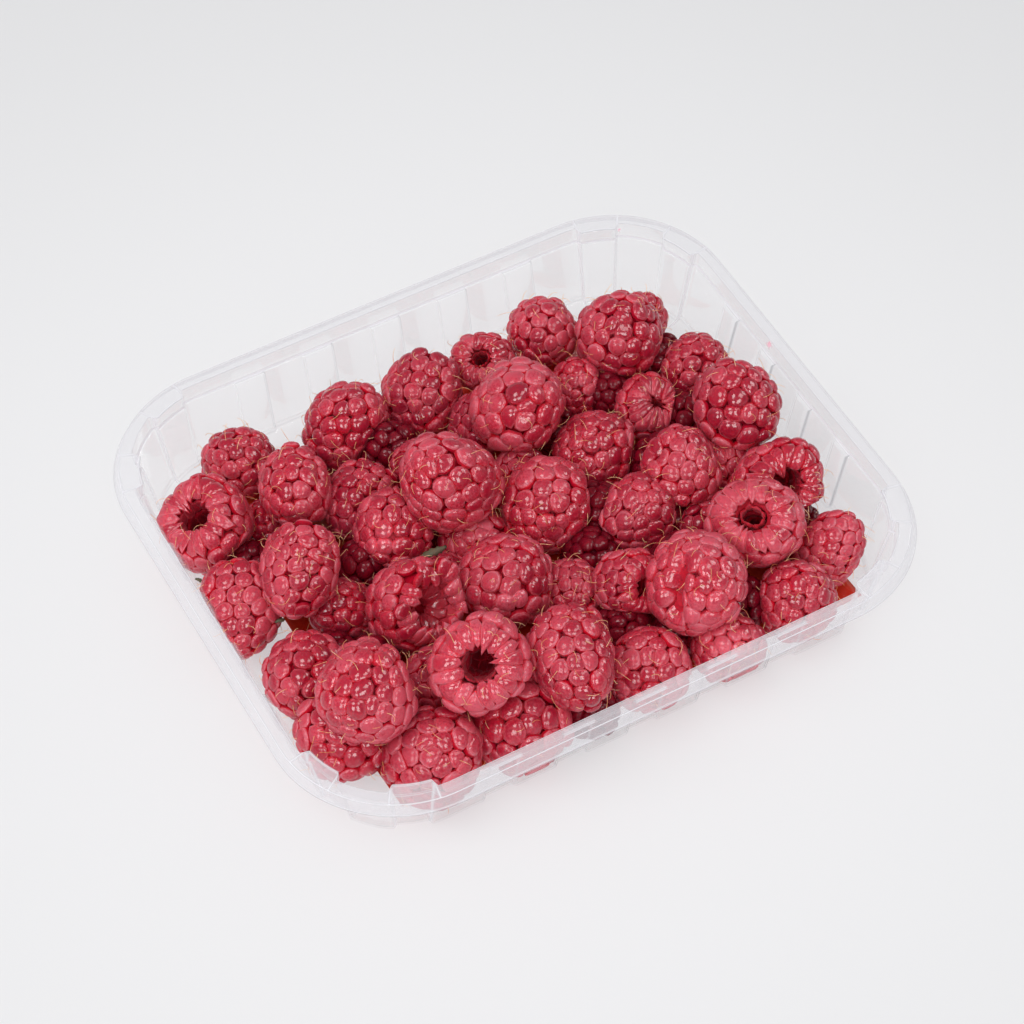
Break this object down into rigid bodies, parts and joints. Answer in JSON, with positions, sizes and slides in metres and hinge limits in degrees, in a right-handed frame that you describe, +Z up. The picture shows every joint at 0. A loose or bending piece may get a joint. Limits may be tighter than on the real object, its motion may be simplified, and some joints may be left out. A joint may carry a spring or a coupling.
{
  "type": "punnet of raspberries",
  "caption": "Shallow clear plastic tray with a turned-down rim, ribbed walls and a thin red cushion pad, heaped with loose fresh raspberries, some showing their hollow ends.",
  "frame": {"origin": "middle of the underside of the tray's floor, at the height it stands on", "axes": "+Z up; X along the tray's long side, Y along its short side"},
  "size_m": [0.18, 0.1544, 0.0443],
  "materials": {
    "tray": "clear, smooth, thin thermoformed sheet",
    "pad": "smooth red-orange film",
    "berries": "fresh raspberry skin with a faint bloom"
  },
  "bodies": {
    "root": {"tray": "tray", "pad": "pad", "berries": "berries"}
  },
  "joints": []
}
